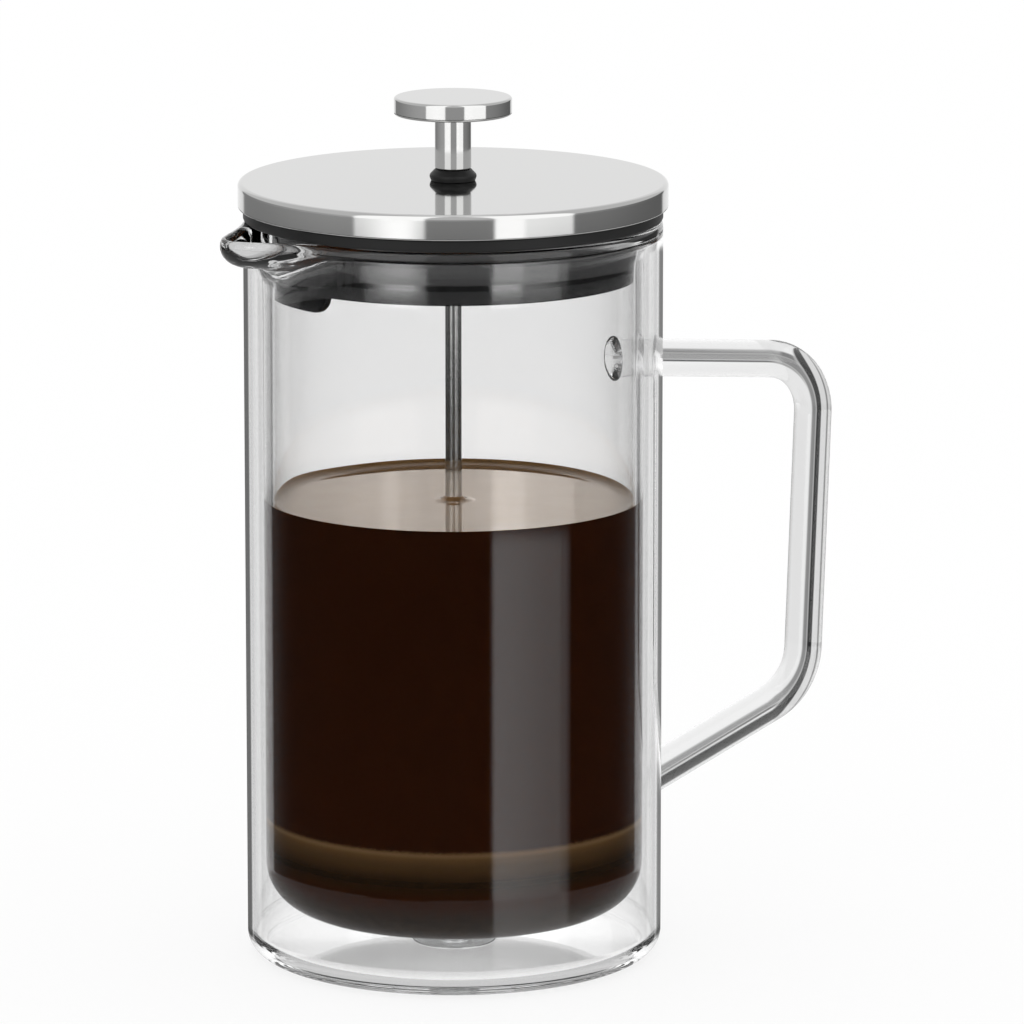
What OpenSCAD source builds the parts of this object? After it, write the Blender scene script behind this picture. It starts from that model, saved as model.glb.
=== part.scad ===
// French press: a double-walled glass carafe with a glass rod handle, a steel lid with
// a plastic strainer collar, and a plunger with a sprung mesh filter.
// The origin is on the carafe's axis, at the underside of its base. The handle stands
// towards +X and the spout towards -X. Heights are measured from the table.

/* [Carafe] */
// Outside diameter of the outer glass wall
shell_d = 100; // [96:1:104]
// Height of the fused glass rim above the table
rim_z = 179; // [160:1:200]
// Thickness of the glass in both walls
glass_t = 2; // [1.6:0.1:2.2]
// Air space between the two walls
wall_gap = 2.5; // [2.3:0.1:3]
// Outer radius of the shell's bottom corner
corner_r = 5; // [4:0.5:14]
// Height of the inner beaker's underside above the table
beaker_z = 11; // [9:0.5:15]
// Outer radius of the inner beaker's bottom corner
beaker_corner_r = 12; // [9:0.5:14]
// Thickness of the outer shell's base
base_t = 2.6; // [2.2:0.1:3.4]

/* [Spout] */
// How far the spout's tip stands out from the wall
spout_reach = 12.3; // [8:0.1:14]
// Half width of the spout where it leaves the rim
spout_half_w = 15; // [10:0.5:18]
// Height of the spout's root below the rim
spout_drop = 8; // [6:0.5:10]

/* [Handle] */
// Diameter of the glass rod
handle_d = 9.2; // [8:0.1:10]
// Height at which the top bar leaves the wall
handle_top_z = 140.5; // [132:0.5:147]
// Height at which the lower leg leaves the wall
handle_low_z = 33.5; // [30:0.5:46]
// Distance from the wall to the upper corner of the rod's centre line
handle_reach = 52.6; // [44:0.1:60]
// Fall of the top bar from the wall to the upper corner
handle_top_fall = 5.5; // [0:0.5:8]
// Lean of the grip towards the carafe, over its length
handle_lean = 3.2; // [0:0.1:10]
// Height of the lower corner above the lower root
handle_low_rise = 20; // [12:0.5:24]
// Bend radius of the upper corner's centre line
handle_top_bend = 14; // [8:0.5:15]
// Bend radius of the lower corner's centre line
handle_low_bend = 15; // [10:0.5:18]

/* [Lid] */
// Diameter of the steel cap
lid_d = 102.5; // [102:0.5:106]
// Height of the steel cap, from its lower edge to its top face
lid_h = 6; // [5:0.1:9]
// Thickness of the cap's sheet
cap_t = 1; // [0.6:0.1:1.2]
// Thickness of the gasket between the glass rim and the lid
gasket_t = 3; // [1.6:0.1:3.4]
// Height of the rod grommet above the lid
grommet_h = 2.8; // [2:0.1:4]
// Diameter of the rod grommet at the lid
grommet_d = 11.5; // [11:0.5:14]

/* [Strainer collar] */
// Depth of the collar's skirt below the glass rim
collar_depth = 13.5; // [12:0.5:18]
// Thickness of the collar's skirt
collar_t = 1.8; // [1.4:0.1:2.4]
// Gap between the collar and the inner beaker's bore
collar_gap = 0.4; // [0.3:0.05:0.8]
// Depth of the tongue below the skirt, at the spout
tongue_drop = 4; // [2:0.5:6]
// Half of the angle that the tongue spans
tongue_half_angle = 18; // [12:1:24]
// Number of strainer slots on each side of the tongue
slots_per_side = 5; // [3:1:8]
// Angle between neighbouring strainer slots
slot_pitch = 3.3; // [3:0.1:4]
// Width of a strainer slot
slot_w = 1; // [0.8:0.1:1.4]

/* [Plunger] */
// Diameter of the plunger rod
rod_d = 4; // [3:0.5:5]
// Diameter of the knob
knob_d = 28.1; // [22:0.1:36]
// Thickness of the knob
knob_t = 4.2; // [3:0.1:8]
// Diameter of the stem under the knob
stem_d = 8.7; // [8:0.1:10]
// Length of the stem under the knob
stem_len = 12.9; // [8:0.1:24]

/* [Filter] */
// Height of the filter's underside above the table, with the plunger pressed down
filter_z = 25.4; // [23:0.1:37]
// Thickness of the filter's perforated plates
plate_t = 0.8; // [0.6:0.1:1.2]
// Outer diameter of the edge spring's coil
coil_d = 4; // [3:0.1:4.4]
// Gap between the filter's edge and the inner beaker's bore
filter_gap = 0.5; // [0.3:0.05:0.8]
// Number of windows in the cross plate
window_count = 8; // [6:1:8]
// Number of holes in the outer ring of the spiral plate
outer_hole_count = 24; // [16:1:28]

/* [Hidden] */
$fn = 96;
// Overlap that makes one solid cut cleanly past another
cut = 1;

// Glass radii and the levels of the fused rim
shell_r = shell_d / 2;
shell_in_r = shell_r - glass_t;
beaker_r = shell_in_r - wall_gap;
bore_r = beaker_r - glass_t;
rim_h = 4;
shell_top_z = rim_z - rim_h;
flare_h = 6;
rim_round = 1.5;
rim_in_r = beaker_r + 1.2;
floor_z = beaker_z + glass_t + 0.4;

// Vent plug in the base
plug_d = 19.5;
plug_stem_d = 8;
plug_t = 1;
plug_fit = 0.05;

// Spout
nose_r = 5;
nose_z = rim_z - 2.2;
nose_flatness = 0.8;
spout_root_r = 3;
spout_root_x = 9 - shell_r;
spout_inset = 1.9;
lip_fall_angle = 5;

// Handle centre line, as points in the plane of X and Z
handle_path = [
    [shell_r, handle_top_z],
    [shell_r + handle_reach, handle_top_z - handle_top_fall],
    [shell_r + handle_reach - handle_lean, handle_low_z + handle_low_rise],
    [shell_r, handle_low_z]
];
// Run of the rod's ends into the wall, before they are cut to it
root_run = 4;
bend_steps = 10;
rod_sides = 32;

// Lid levels
seat_z = rim_z + gasket_t;
cap_z = seat_z + lid_h;
cap_under_z = cap_z - cap_t;
cap_r = lid_d / 2;
cap_round = 1.2;
cap_in_r = cap_r - cap_t;

// Collar
collar_r = bore_r - collar_gap;
deck_t = 3;
deck_z = cap_under_z - deck_t;
deck_r = cap_in_r - 0.15;
seat_w = 2.6;
skirt_z = rim_z - collar_depth;
tongue_z = skirt_z - tongue_drop;
hub_r = 7;
hub_z = skirt_z + 10;
slot_z = skirt_z + 2;
slot_h = 11;
spout_angle = 180;

// Gasket
gasket_gap = 0.4;
gasket_rib_w = 2.6;

// Bush, nut and grommet
running_gap = 0.08;
bush_r = 4;
bush_bore_r = rod_d / 2 + running_gap;
bush_flange_r = 4.9;
bush_flange_t = 0.8;
press_gap = 0.05;
nut_h = 3;
nut_flats = 11;
grommet_top_r = 4;

// Plunger levels
rod_r = rod_d / 2;
stem_gap = 0.2;
stem_z = cap_z + grommet_h + stem_gap;
knob_z = stem_z + stem_len;
knob_round = 0.7;
rod_top_z = knob_z + knob_t / 2;

// Filter levels
mesh_t = 0.5;
mesh_z = filter_z + plate_t;
mesh_r = bore_r - filter_gap;
mesh_corner_r = 2.8;
coil_r = mesh_r - mesh_t - coil_d / 2 - 0.1;
coil_z = mesh_z + mesh_t + coil_d / 2 + 0.1;
mesh_top_z = coil_z + coil_d / 2;
spiral_z = coil_z - plate_t / 2;
spiral_r = coil_r - coil_d / 4;
spacer_r = 6;
cross_r = mesh_r - mesh_corner_r - 2.5;
window_r = 5.4;
window_ring_r = 21;
vent_hole_r = 2.2;
vent_ring_r = 31.8;
hole_r = 1.3;
outer_hole_ring_r = 34.5;
filter_nut_h = 5;
filter_nut_flats = 9;
rod_bottom_z = filter_z - filter_nut_h + 1;
shoulder_r = 4.5;
shoulder_t = 1.6;
shoulder_gap = 0.2;

function unit(v) = v / norm(v);

// How far from a corner a bend of radius r leaves each straight leg
function tangent_length(path, i, r) =
    r * tan(acos(unit(path[i] - path[i - 1]) * unit(path[i + 1] - path[i])) / 2);

// Half outline of an upright vessel with a rounded bottom corner
module vessel_outline(r, z0, z1, corner) {
    translate([0, z0])
        square([r - corner, z1 - z0]);
    translate([0, z0 + corner])
        square([r, z1 - z0 - corner]);
    translate([r - corner, z0 + corner])
        circle(r = corner);
}

// Cylinder of the given radius between two heights on the axis
module round_bar(r, z0, z1) {
    translate([0, 0, z0])
        cylinder(r = r, h = z1 - z0);
}

// Ring between two radii and two heights on the axis
module ring(r_in, r_out, z0, z1) {
    difference() {
        round_bar(r_out, z0, z1);
        round_bar(r_in, z0 - cut, z1 + cut);
    }
}

// Copies of the children, evenly spaced round the axis
module around(count, start = 0) {
    for (i = [0 : count - 1])
        rotate([0, 0, start + i * 360 / count])
            children();
}

// Places along a clockwise bend at point i of a path, each as [point, direction]
function bend_stations(path, i, r) =
    let (
        inward = unit(path[i] - path[i - 1]),
        turn = acos(inward * unit(path[i + 1] - path[i])),
        centre = path[i] - inward * tangent_length(path, i, r) + [inward.y, -inward.x] * r,
        heading = atan2(inward.y, inward.x)
    )
    [for (k = [0 : bend_steps])
        let (a = heading - turn * k / bend_steps)
        [centre + r * [-sin(a), cos(a)], [cos(a), sin(a)]]];

// Round rod swept along places in the plane of X and Z, each given as [point, direction]
module swept_rod(stations, d) {
    last = len(stations) - 1;
    points = [for (s = stations) for (k = [0 : rod_sides - 1])
        let (a = k * 360 / rod_sides, up = d / 2 * cos(a))
        [s[0].x - up * s[1].y, d / 2 * sin(a), s[0].y + up * s[1].x]];
    sides = [for (i = [0 : last - 1]) for (k = [0 : rod_sides - 1])
        let (next = (k + 1) % rod_sides)
        [i * rod_sides + k, i * rod_sides + next, (i + 1) * rod_sides + next, (i + 1) * rod_sides + k]];
    ends = [
        [for (k = [0 : rod_sides - 1]) rod_sides - 1 - k],
        [for (k = [0 : rod_sides - 1]) last * rod_sides + k]
    ];
    polyhedron(points, concat(sides, ends));
}

// Outer form of the spout; a positive inset gives the channel inside it
module spout_form(inset, rise) {
    hull() {
        translate([nose_r - shell_r - spout_reach, 0, nose_z]) {
            cylinder(r = nose_r - inset, h = rim_z - nose_z + rise, $fn = 32);
            scale([1, 1, nose_flatness])
                sphere(r = nose_r - inset, $fn = 32);
        }
        translate([spout_root_x, 0, rim_z - 3])
            cylinder(r = spout_half_w - inset, h = 3 + rise, $fn = 32);
        translate([spout_root_r - shell_r, 0, rim_z - spout_drop + spout_root_r])
            sphere(r = spout_root_r - inset, $fn = 32);
    }
}

// Space above the rim and the spout's lip, which falls slightly towards the tip
module above_lip() {
    translate([-shell_d, -shell_r, rim_z])
        cube([2 * shell_d, shell_d, shell_r]);
    translate([-shell_r, 0, rim_z])
        rotate([0, -lip_fall_angle, 0])
            translate([-shell_r, -shell_r, 0])
                cube([shell_r, shell_d, shell_r]);
}

// Outer glass wall with its base
module outer_shell() {
    color("lightcyan", 0.35)
    difference() {
        rotate_extrude()
            difference() {
                vessel_outline(shell_r, 0, shell_top_z, corner_r);
                vessel_outline(shell_in_r, base_t, shell_top_z + cut, corner_r - glass_t);
            }
        round_bar(plug_d / 2 + plug_fit, -cut, plug_t);
        round_bar(plug_stem_d / 2 + plug_fit, 0, base_t + cut);
        spout_form(0, cut);
    }
}

// Half outline of the beaker's flared, fused rim
module rim_outline() {
    polygon([
        [bore_r, shell_top_z - flare_h],
        [beaker_r, shell_top_z - flare_h],
        [shell_in_r, shell_top_z],
        [shell_r, shell_top_z],
        [shell_r, rim_z - rim_round],
        [shell_r - rim_round, rim_z],
        [rim_in_r, rim_z],
        [bore_r, shell_top_z - flare_h + 1]
    ]);
    translate([shell_r - rim_round, rim_z - rim_round])
        circle(r = rim_round);
}

// Inner glass wall, with the fused rim and the spout
module inner_beaker() {
    color("lightcyan", 0.35)
    difference() {
        union() {
            rotate_extrude() {
                difference() {
                    vessel_outline(beaker_r, beaker_z, shell_top_z - flare_h, beaker_corner_r);
                    vessel_outline(bore_r, floor_z, rim_z + cut, beaker_corner_r - glass_t);
                }
                rim_outline();
            }
            difference() {
                spout_form(0, 0);
                round_bar(beaker_r - glass_t / 2, floor_z, rim_z + cut);
            }
        }
        spout_form(spout_inset, cut);
        above_lip();
    }
}

// Solid glass rod handle, fused to the outer wall at both ends
module handle() {
    top_run = unit(handle_path[1] - handle_path[0]);
    low_run = unit(handle_path[3] - handle_path[2]);
    stations = concat(
        [[handle_path[0] - top_run * root_run, top_run]],
        bend_stations(handle_path, 1, handle_top_bend),
        bend_stations(handle_path, 2, handle_low_bend),
        [[handle_path[3] + low_run * root_run, low_run]]
    );
    color("lightcyan", 0.5)
    difference() {
        swept_rod(stations, handle_d);
        round_bar(shell_r, 0, rim_z);
    }
}

// Clear silicone plug that closes the air space, flush with the base
module vent_plug() {
    color("gainsboro")
    union() {
        round_bar(plug_d / 2, 0, plug_t);
        round_bar(plug_stem_d / 2, 0, base_t + 1);
    }
}

// Soft ring between the glass rim and the lid, with a rib that sits in the collar's groove
module lid_gasket() {
    color("black")
    union() {
        ring(collar_r + gasket_gap, shell_r, rim_z, seat_z);
        ring(collar_r + gasket_gap, collar_r + gasket_gap + gasket_rib_w, rim_z, deck_z - gasket_gap);
    }
}

// Steel cap, pressed from sheet
module lid_cap() {
    color("silver")
    rotate_extrude()
        difference() {
            union() {
                translate([0, seat_z])
                    square([cap_r, lid_h - cap_round]);
                translate([0, seat_z])
                    square([cap_r - cap_round, lid_h]);
                translate([cap_r - cap_round, cap_z - cap_round])
                    circle(r = cap_round);
            }
            translate([0, seat_z - cut])
                square([cap_in_r, lid_h - cap_t + cut]);
            translate([0, cap_under_z - cut])
                square([bush_r + press_gap, cap_t + 2 * cut]);
        }
}

// One strainer slot through the skirt, at the given angle
module strainer_slot(angle) {
    rotate([0, 0, angle])
        translate([collar_r - collar_t - cut, -slot_w / 2, slot_z])
            cube([collar_t + 2 * cut, slot_w, slot_h]);
}

// Rounded tongue that hangs from the skirt at the spout
module tongue() {
    half_w = collar_r * sin(tongue_half_angle);
    intersection() {
        ring(collar_r - collar_t, collar_r, tongue_z, skirt_z + cut);
        rotate([0, 0, spout_angle])
            rotate([90, 0, 90])
                linear_extrude(shell_r) {
                    translate([-half_w, skirt_z])
                        square([2 * half_w, 2 * cut]);
                    translate([tongue_drop - half_w, tongue_z])
                        square([2 * (half_w - tongue_drop), tongue_drop + cut]);
                    for (side = [-1, 1])
                        translate([side * (half_w - tongue_drop), skirt_z])
                            circle(r = tongue_drop);
                }
    }
}

// Black plastic collar under the cap: deck, hub, rim wall and slotted skirt
module strainer_collar() {
    color("#222222")
    difference() {
        union() {
            round_bar(deck_r, deck_z, cap_under_z);
            ring(deck_r - seat_w, deck_r, seat_z, cap_under_z);
            ring(collar_r - collar_t, collar_r, skirt_z, cap_under_z);
            round_bar(hub_r, hub_z, cap_under_z);
            tongue();
        }
        round_bar(bush_r + press_gap, hub_z - cut, cap_z);
        for (side = [-1, 1])
            for (i = [0 : slots_per_side - 1])
                strainer_slot(spout_angle + side * (tongue_half_angle - 3 + i * slot_pitch));
    }
}

// Flanged bush that guides the rod and clamps the cap to the collar
module guide_bush() {
    color("gray")
    difference() {
        union() {
            round_bar(bush_r, hub_z - nut_h - 0.5, cap_z);
            round_bar(bush_flange_r, cap_z, cap_z + bush_flange_t);
        }
        round_bar(bush_bore_r, hub_z - nut_h - cut, cap_z + bush_flange_t + cut);
    }
}

// Hexagonal nut with a round hole, standing on z0
module hex_nut(flats, hole_r, z0, h) {
    difference() {
        translate([0, 0, z0])
            cylinder(d = flats / cos(30), h = h, $fn = 6);
        round_bar(hole_r, z0 - cut, z0 + h + cut);
    }
}

// Nut on the bush, under the collar's hub
module bush_nut() {
    color("silver")
    hex_nut(nut_flats, bush_r + press_gap, hub_z - nut_h, nut_h);
}

// Black rubber grommet that covers the bush's flange
module rod_grommet() {
    color("black")
    difference() {
        rotate_extrude()
            polygon([
                [0, cap_z],
                [grommet_d / 2 - 0.4, cap_z],
                [grommet_d / 2, cap_z + 0.6],
                [grommet_d / 2 - 0.2, cap_z + grommet_h * 0.5],
                [grommet_top_r + 0.7, cap_z + grommet_h * 0.8],
                [grommet_top_r, cap_z + grommet_h],
                [0, cap_z + grommet_h]
            ]);
        round_bar(bush_flange_r + press_gap, cap_z - cut, cap_z + bush_flange_t + press_gap);
        round_bar(rod_r + 0.2, cap_z, cap_z + grommet_h + cut);
    }
}

// Steel rod from the filter to the knob
module plunger_rod() {
    color("silver")
    round_bar(rod_r, rod_bottom_z, rod_top_z);
}

// Flat round knob with a blind hole for the rod
module knob() {
    color("silver")
    difference() {
        rotate_extrude()
            union() {
                translate([0, knob_z])
                    square([knob_d / 2 - knob_round, knob_t]);
                translate([0, knob_z + knob_round])
                    square([knob_d / 2, knob_t - 2 * knob_round]);
                for (z = [knob_z + knob_round, knob_z + knob_t - knob_round])
                    translate([knob_d / 2 - knob_round, z])
                        circle(r = knob_round);
            }
        round_bar(rod_r + press_gap, knob_z - cut, rod_top_z);
    }
}

// Sleeve on the rod under the knob; its lower end stops on the grommet
module knob_stem() {
    color("silver")
    ring(rod_r + press_gap, stem_d / 2, stem_z, knob_z);
}

// Shoulder ring pressed on the rod, which the filter is screwed up against
module rod_shoulder() {
    color("silver")
    ring(rod_r + press_gap, shoulder_r, spiral_z + plate_t + shoulder_gap,
         spiral_z + plate_t + shoulder_gap + shoulder_t);
}

// Upper filter plate, whose edge the spring is wound on
module spiral_plate() {
    color("silver")
    difference() {
        union() {
            round_bar(spiral_r, spiral_z, spiral_z + plate_t);
            round_bar(spacer_r, mesh_z + mesh_t, spiral_z + plate_t);
        }
        round_bar(rod_r + running_gap, filter_z, coil_z + coil_d);
        around(outer_hole_count)
            translate([outer_hole_ring_r, 0, 0])
                round_bar(hole_r, spiral_z - cut, spiral_z + plate_t + cut);
        around(window_count)
            translate([window_ring_r, 0, 0])
                round_bar(window_r, spiral_z - cut, spiral_z + plate_t + cut);
    }
}

// Coil spring round the filter's edge, as the solid that its turns fill
module edge_spring() {
    color("silver")
    rotate_extrude()
        difference() {
            translate([coil_r, coil_z])
                circle(d = coil_d);
            translate([0, spiral_z])
                square([spiral_r, plate_t]);
        }
}

// Fine mesh disc, turned up round the outside of the spring
module mesh_screen() {
    color("lightgray")
    difference() {
        rotate_extrude()
            difference() {
                vessel_outline(mesh_r, mesh_z, mesh_top_z, mesh_corner_r);
                vessel_outline(mesh_r - mesh_t, mesh_z + mesh_t, mesh_top_z + cut, mesh_corner_r - mesh_t);
            }
        round_bar(rod_r + running_gap, filter_z, mesh_top_z);
    }
}

// Lower filter plate, which presses the mesh up against the spiral plate
module cross_plate() {
    color("silver")
    difference() {
        round_bar(cross_r, filter_z, mesh_z);
        round_bar(rod_r + running_gap, filter_z - cut, mesh_z + cut);
        around(window_count, 180 / window_count)
            translate([window_ring_r, 0, 0])
                round_bar(window_r, filter_z - cut, mesh_z + cut);
        around(2 * window_count)
            translate([vent_ring_r, 0, 0])
                round_bar(vent_hole_r, filter_z - cut, mesh_z + cut);
    }
}

// Threaded nut under the cross plate, which the rod screws into
module filter_nut() {
    color("silver")
    hex_nut(filter_nut_flats, rod_r + running_gap, filter_z - filter_nut_h, filter_nut_h);
}

outer_shell();
inner_beaker();
handle();
vent_plug();
lid_gasket();
lid_cap();
strainer_collar();
guide_bush();
bush_nut();
rod_grommet();
plunger_rod();
knob();
knob_stem();
rod_shoulder();
spiral_plate();
edge_spring();
mesh_screen();
cross_plate();
filter_nut();
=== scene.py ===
import math

import bmesh
import bpy
from mathutils import Matrix, Vector


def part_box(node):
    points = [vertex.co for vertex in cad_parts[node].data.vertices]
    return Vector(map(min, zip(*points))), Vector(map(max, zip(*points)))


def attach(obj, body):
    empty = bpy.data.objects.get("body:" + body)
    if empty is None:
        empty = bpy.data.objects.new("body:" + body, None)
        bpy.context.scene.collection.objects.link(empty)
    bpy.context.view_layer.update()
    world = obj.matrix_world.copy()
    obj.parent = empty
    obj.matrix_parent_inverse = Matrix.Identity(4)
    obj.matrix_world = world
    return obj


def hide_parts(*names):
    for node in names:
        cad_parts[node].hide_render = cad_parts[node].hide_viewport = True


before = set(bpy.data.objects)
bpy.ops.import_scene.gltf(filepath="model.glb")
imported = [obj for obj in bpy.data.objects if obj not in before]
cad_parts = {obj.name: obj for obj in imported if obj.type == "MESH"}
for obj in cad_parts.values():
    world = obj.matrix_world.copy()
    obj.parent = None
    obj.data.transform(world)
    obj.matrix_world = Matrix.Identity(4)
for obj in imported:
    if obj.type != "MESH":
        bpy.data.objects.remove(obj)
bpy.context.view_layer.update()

# Lengths in the shape tables below are in millimetres; meshes are in metres.
MM = 0.001
FINE = 256  # segments round a large turned part
COARSE = 96  # segments round a small turned part
COMPARE_WITHIN = 0.5  # a math node's COMPARE holds this near

# Levels and radii that the CAD frame gives, in millimetres
SHELL_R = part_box("outer_shell")[1].x / MM
RIM_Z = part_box("inner_beaker")[1].z / MM
BEAKER_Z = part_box("inner_beaker")[0].z / MM
PLUG_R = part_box("vent_plug")[1].x / MM
GASKET_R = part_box("lid_gasket")[1].x / MM
CAP_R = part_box("lid_cap")[1].x / MM
CAP_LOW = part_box("lid_cap")[0].z / MM
CAP_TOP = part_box("lid_cap")[1].z / MM
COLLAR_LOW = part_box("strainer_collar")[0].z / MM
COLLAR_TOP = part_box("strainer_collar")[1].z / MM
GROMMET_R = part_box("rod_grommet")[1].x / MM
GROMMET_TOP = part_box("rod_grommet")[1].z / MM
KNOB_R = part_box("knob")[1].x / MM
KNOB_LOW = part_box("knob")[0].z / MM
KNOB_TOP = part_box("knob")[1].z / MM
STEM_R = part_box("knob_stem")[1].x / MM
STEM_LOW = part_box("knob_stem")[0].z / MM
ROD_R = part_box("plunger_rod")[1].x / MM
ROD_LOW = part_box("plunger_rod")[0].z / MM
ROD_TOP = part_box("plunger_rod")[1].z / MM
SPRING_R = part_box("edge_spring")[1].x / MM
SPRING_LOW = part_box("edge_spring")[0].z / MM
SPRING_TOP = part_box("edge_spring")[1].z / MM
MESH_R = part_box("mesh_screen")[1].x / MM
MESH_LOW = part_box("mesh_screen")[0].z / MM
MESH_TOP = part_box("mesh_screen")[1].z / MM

# Glass walls, their bases, and the coffee's level
GLASS = 2.0
AIR_GAP = 2.5
BORE_R = SHELL_R - GLASS - AIR_GAP - GLASS
BEAKER_R = BORE_R + GLASS
CAVITY_R = SHELL_R - GLASS
BEAKER_FLOOR_T = 2.4
FLOOR_Z = BEAKER_Z + BEAKER_FLOOR_T
BASE_T = 2.6
BASE_CORNER = 5.0
COFFEE_Z = 110.7
WALL_CUT = 60.0  # height at which the outlines of the walls are joined

# Bores and clearances
PLUG_HOLE_R = 4.05
PLUG_STEM_R = 4.0
PLUG_SEAT_Z = 1.0
PLUG_GAP = 0.05
CAP_BORE_R = 4.05
KNOB_BORE_R = 2.06


# ---------------------------------------------------------------- shapes

def new_object(name, mesh):
    obj = bpy.data.objects.new(name, mesh)
    bpy.context.scene.collection.objects.link(obj)
    return obj


def smooth(mesh, angle=35.0):
    """Smooth shading, with edges sharper than the angle kept crisp."""
    bm = bmesh.new()
    bm.from_mesh(mesh)
    limit = math.radians(angle)
    for edge in bm.edges:
        edge.smooth = len(edge.link_faces) == 2 and edge.calc_face_angle(0) < limit
    for face in bm.faces:
        face.smooth = True
    bm.to_mesh(mesh)
    bm.free()


def shaded_object(name, verts, faces, angle):
    """Object from vertices and faces, with the faces turned outwards and shaded smooth."""
    mesh = bpy.data.meshes.new(name)
    mesh.from_pydata(verts, [], faces)
    bm = bmesh.new()
    bm.from_mesh(mesh)
    bmesh.ops.recalc_face_normals(bm, faces=bm.faces)
    bm.to_mesh(mesh)
    bm.free()
    smooth(mesh, angle)
    return new_object(name, mesh)


def ring_faces(one, two, sides):
    """Quads between two rings of vertices, given the first vertex of each."""
    return [[one + k, one + (k + 1) % sides, two + (k + 1) % sides, two + k] for k in range(sides)]


def rounded(points, closed=False, step=9.0):
    """Outline through (radius, height, fillet) points with every fillet drawn as an arc."""
    flat = [Vector(p[:2]) for p in points]
    radii = [p[2] if len(p) > 2 else 0.0 for p in points]
    count = len(points)
    out = []
    for i in range(count):
        here, radius = flat[i], radii[i]
        if radius == 0 or (not closed and i in (0, count - 1)):
            out.append(tuple(here))
            continue
        back = (flat[i - 1] - here).normalized()
        ahead = (flat[(i + 1) % count] - here).normalized()
        half = math.acos(max(-1.0, min(1.0, back.dot(ahead)))) / 2
        run = radius / math.tan(half)
        centre = here + (back + ahead).normalized() * (radius / math.sin(half))
        a, b = here + back * run - centre, here + ahead * run - centre
        turn = math.atan2(a.x * b.y - a.y * b.x, a.dot(b))
        parts = max(3, math.ceil(abs(math.degrees(turn)) / step))
        support = min(0.25, radius * 0.2)
        out.append(tuple(here + back * (run + support)))
        for k in range(parts + 1):
            c, s = math.cos(turn * k / parts), math.sin(turn * k / parts)
            out.append((centre.x + a.x * c - a.y * s, centre.y + a.x * s + a.y * c))
        out.append(tuple(here + ahead * (run + support)))
    return out


def curve(points, parts=5):
    """Smooth outline through (radius, height) points."""
    out = []
    last = len(points) - 1
    for i in range(last):
        p0, p1 = points[max(i - 1, 0)], points[i]
        p2, p3 = points[i + 1], points[min(i + 2, last)]
        for k in range(parts):
            t = k / parts
            out.append(tuple(
                0.5 * (2 * b + (c - a) * t + (2 * a - 5 * b + 4 * c - d) * t * t
                       + (3 * b - a - 3 * c + d) * t ** 3)
                for a, b, c, d in zip(p0, p1, p2, p3)))
    out.append(tuple(points[-1]))
    return out


def even_angles(count):
    return [2 * math.pi * i / count for i in range(count)]


def turned(name, sections, angles, closed=False, angle=35.0):
    """Mesh turned about the Z axis. sections(angle) gives the outline at that angle, always with
    as many points; a point on the axis becomes a pole. A closed outline makes a ring."""
    verts, faces = [], []
    columns = [sections(a) for a in angles]
    count = len(columns[0])
    poles = {}
    index = []
    for column, a in zip(columns, angles):
        row = []
        for k, (r, z) in enumerate(column):
            if r < 1e-6:
                if k not in poles:
                    poles[k] = len(verts)
                    verts.append((0.0, 0.0, z * MM))
                row.append(poles[k])
            else:
                row.append(len(verts))
                verts.append((r * MM * math.cos(a), r * MM * math.sin(a), z * MM))
        index.append(row)
    for i in range(len(angles)):
        one, two = index[i], index[(i + 1) % len(angles)]
        for k in range(count if closed else count - 1):
            n = (k + 1) % count
            quad = [one[k], two[k], two[n], one[n]]
            face = [v for j, v in enumerate(quad) if v not in quad[:j]]
            if len(face) > 2:
                faces.append(face)
    return shaded_object(name, verts, faces, angle)


def lathe(name, outline, count=COARSE, closed=False, angle=35.0):
    return turned(name, lambda a: outline, even_angles(count), closed, angle)


def swept(name, stations, sides, angle):
    """Open tube through stations given as (point, direction, side vector, radius) in millimetres."""
    verts, faces = [], []
    for point, ahead, side, radius in stations:
        up = ahead.cross(side)
        for k in range(sides):
            a = 2 * math.pi * k / sides
            verts.append((point + side * (radius * math.cos(a)) + up * (radius * math.sin(a))) * MM)
    for i in range(len(stations) - 1):
        faces += ring_faces(i * sides, (i + 1) * sides, sides)
    return shaded_object(name, verts, faces, angle)


# ---------------------------------------------------------------- node helpers

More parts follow.
